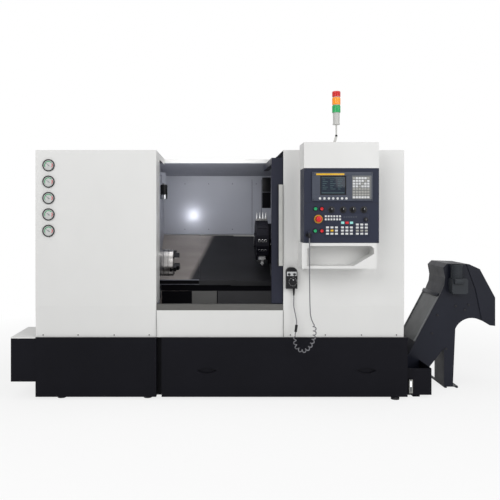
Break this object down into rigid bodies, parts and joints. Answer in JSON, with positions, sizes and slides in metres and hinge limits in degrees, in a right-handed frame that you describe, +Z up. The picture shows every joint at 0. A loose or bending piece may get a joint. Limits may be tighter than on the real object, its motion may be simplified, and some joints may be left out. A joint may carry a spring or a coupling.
{
  "type": "cnc turning lathe",
  "caption": "Slant-bed turning lathe: sheet-metal enclosure with a sliding door, power chuck, tool turret, operator pendant, signal tower and chip conveyor.",
  "frame": {"origin": "on the floor, below the middle of the machine's outer box", "axes": "+X from the headstock to the chip conveyor, along the spindle; +Y from the front to the rear; +Z up"},
  "size_m": [3.63, 1.903, 2.194],
  "materials": {
    "cover_white": "satin paint",
    "base_black": "satin paint",
    "door_blue": "satin paint",
    "panel_navy": "fine textured paint",
    "bezel_blue": "matt",
    "conveyor_navy": "satin paint",
    "liner_grey": "gloss paint",
    "guard_steel": "brushed",
    "sill_steel": "brushed",
    "bright_steel": "ground",
    "dark_steel": "blackened",
    "cast_grey": "painted casting",
    "motor_grey": "painted casting",
    "pale_plastic": "matt",
    "black_plastic": "matt",
    "belt_rubber": "matt",
    "cord_grey": "matt",
    "red_plastic": "gloss",
    "green_plastic": "gloss",
    "lens_amber": "gloss",
    "window_glass": "clear",
    "gauge_pale": "gloss",
    "lid_white": "satin paint"
  },
  "bodies": {
    "machine": {"bed_casting": "cast_grey", "levelling_feet": "guard_steel", "headstock": "cast_grey", "spindle_motor": "motor_grey", "drive_belt": "belt_rubber", "left_cover": "cover_white", "right_cover": "cover_white", "roof_cover": "cover_white", "lower_front_panel": "cover_white", "door_sill": "sill_steel", "left_skirt": "base_black", "front_skirt": "base_black", "side_box": "base_black", "side_box_lid": "lid_white", "coolant_tank": "base_black", "chamber_liner": "liner_grey", "chip_chute": "guard_steel", "pendant_housing": "cover_white", "operator_panel": "panel_navy", "display_unit": "bezel_blue", "key_field": "bezel_blue", "handset_body": "black_plastic", "handset_cord": "cord_grey", "tower_stand": "pale_plastic", "tower_lenses": "lens_amber", "pressure_gauges": "gauge_pale", "conveyor_body": "conveyor_navy", "conveyor_cover": "guard_steel", "conveyor_gear_motor": "motor_grey", "cabinet_shell": "cover_white"},
    "door": {"door_frame": "door_blue", "door_window": "window_glass", "door_handle": "pale_plastic"},
    "spindle": {"spindle": "bright_steel", "chuck_body": "bright_steel"},
    "jaw_1": {"chuck_jaw_1": "dark_steel"},
    "jaw_2": {"chuck_jaw_2": "dark_steel"},
    "jaw_3": {"chuck_jaw_3": "dark_steel"},
    "motor_pulley": {"motor_pulley": "bright_steel"},
    "saddle": {"saddle": "cast_grey", "way_guard_saddle": "guard_steel"},
    "guard_middle": {"way_guard_middle": "guard_steel"},
    "z_screw": {"z_screw": "bright_steel"},
    "cross_slide": {"cross_slide": "cast_grey", "turret_housing": "cast_grey"},
    "turret": {"turret_disc": "dark_steel", "tool_holders": "bright_steel"},
    "lamp": {"lamp_head": "pale_plastic"},
    "power_on": {"power_on_button": "green_plastic"},
    "power_off": {"power_off_button": "red_plastic"},
    "cycle_start": {"cycle_start_button": "green_plastic"},
    "feed_hold": {"feed_hold_button": "red_plastic"},
    "knob_1": {"rotary_knob_1": "black_plastic"},
    "knob_2": {"rotary_knob_2": "black_plastic"},
    "knob_3": {"rotary_knob_3": "black_plastic"},
    "knob_4": {"rotary_knob_4": "black_plastic"},
    "estop": {"estop_button": "red_plastic"},
    "handset_wheel": {"handset_wheel": "black_plastic"},
    "conveyor_shaft": {"conveyor_shaft": "bright_steel"},
    "cabinet_door": {"cabinet_door": "cover_white"}
  },
  "joints": [
    {"name": "door_slide", "type": "slide", "parent": "machine", "child": "door", "axis": [-1, 0, 0], "range_m": [0, 0.825]},
    {"name": "spindle_spin", "type": "hinge", "parent": "machine", "child": "spindle", "pos_m": [-0.784, -0.1235, 0.95], "axis": [1, 0, 0], "continuous": true},
    {"name": "jaw_1_slide", "type": "slide", "parent": "spindle", "child": "jaw_1", "axis": [0, 0, 1], "range_m": [-0.004, 0]},
    {"name": "jaw_2_slide", "type": "slide", "parent": "spindle", "child": "jaw_2", "axis": [0, -0.866, -0.5], "range_m": [-0.004, 0]},
    {"name": "jaw_3_slide", "type": "slide", "parent": "spindle", "child": "jaw_3", "axis": [0, 0.866, -0.5], "range_m": [-0.004, 0]},
    {"name": "motor_spin", "type": "hinge", "parent": "machine", "child": "motor_pulley", "pos_m": [-1.308, -0.3785, 0.586], "axis": [1, 0, 0], "continuous": true},
    {"name": "saddle_slide", "type": "slide", "parent": "machine", "child": "saddle", "axis": [1, 0, 0], "range_m": [-0.45, 0.05]},
    {"name": "guard_middle_slide", "type": "slide", "parent": "machine", "child": "guard_middle", "axis": [1, 0, 0], "range_m": [-0.225, 0.025]},
    {"name": "z_screw_spin", "type": "hinge", "parent": "machine", "child": "z_screw", "pos_m": [-0.815, 0.37891, 0.8798], "axis": [1, 0, 0], "continuous": true},
    {"name": "cross_feed", "type": "slide", "parent": "saddle", "child": "cross_slide", "axis": [0, 0.866, 0.5], "range_m": [-0.1, 0.03]},
    {"name": "turret_index", "type": "hinge", "parent": "cross_slide", "child": "turret", "pos_m": [0, 0.17095, 1.12], "axis": [1, 0, 0], "continuous": true},
    {"name": "lamp_tilt", "type": "hinge", "parent": "machine", "child": "lamp", "pos_m": [-0.753, -0.1135, 1.6], "axis": [0, -1, 0], "range_deg": [0, 45]},
    {"name": "power_on_press", "type": "slide", "parent": "machine", "child": "power_on", "axis": [0, 1, 0], "range_m": [0, 0.004], "stiffness_N_per_m": 800, "springref_m": -0.001},
    {"name": "power_off_press", "type": "slide", "parent": "machine", "child": "power_off", "axis": [0, 1, 0], "range_m": [0, 0.004], "stiffness_N_per_m": 800, "springref_m": -0.001},
    {"name": "cycle_start_press", "type": "slide", "parent": "machine", "child": "cycle_start", "axis": [0, 1, 0], "range_m": [0, 0.004], "stiffness_N_per_m": 800, "springref_m": -0.001},
    {"name": "feed_hold_press", "type": "slide", "parent": "machine", "child": "feed_hold", "axis": [0, 1, 0], "range_m": [0, 0.004], "stiffness_N_per_m": 800, "springref_m": -0.001},
    {"name": "estop_press", "type": "slide", "parent": "machine", "child": "estop", "axis": [0, 1, 0], "range_m": [0, 0.006]},
    {"name": "knob_1_turn", "type": "hinge", "parent": "machine", "child": "knob_1", "pos_m": [0.454, -0.9135, 1.368], "axis": [0, -1, 0], "range_deg": [-60, 60]},
    {"name": "knob_2_turn", "type": "hinge", "parent": "machine", "child": "knob_2", "pos_m": [0.534, -0.9135, 1.368], "axis": [0, -1, 0], "range_deg": [-60, 60]},
    {"name": "knob_3_turn", "type": "hinge", "parent": "machine", "child": "knob_3", "pos_m": [0.601, -0.9135, 1.368], "axis": [0, -1, 0], "range_deg": [-60, 60]},
    {"name": "knob_4_turn", "type": "hinge", "parent": "machine", "child": "knob_4", "pos_m": [0.676, -0.9135, 1.368], "axis": [0, -1, 0], "range_deg": [-60, 60]},
    {"name": "handset_wheel_spin", "type": "hinge", "parent": "machine", "child": "handset_wheel", "pos_m": [0.214, -0.7185, 0.855], "axis": [0, -1, 0], "continuous": true},
    {"name": "conveyor_shaft_spin", "type": "hinge", "parent": "machine", "child": "conveyor_shaft", "pos_m": [1.52, -0.3335, 0.79], "axis": [0, 1, 0], "continuous": true},
    {"name": "cabinet_door_hinge", "type": "hinge", "parent": "machine", "child": "cabinet_door", "pos_m": [1.006, 0.9315, 0.64], "axis": [0, 0, -1], "range_deg": [0, 100]}
  ],
  "couplings": [
    {"joint": "jaw_2_slide", "follows": "jaw_1_slide", "ratio": 1},
    {"joint": "jaw_3_slide", "follows": "jaw_1_slide", "ratio": 1},
    {"joint": "motor_spin", "follows": "spindle_spin", "ratio": 1.5},
    {"joint": "guard_middle_slide", "follows": "saddle_slide", "ratio": 0.5},
    {"joint": "z_screw_spin", "follows": "saddle_slide", "rad_per_m": 628.32}
  ]
}
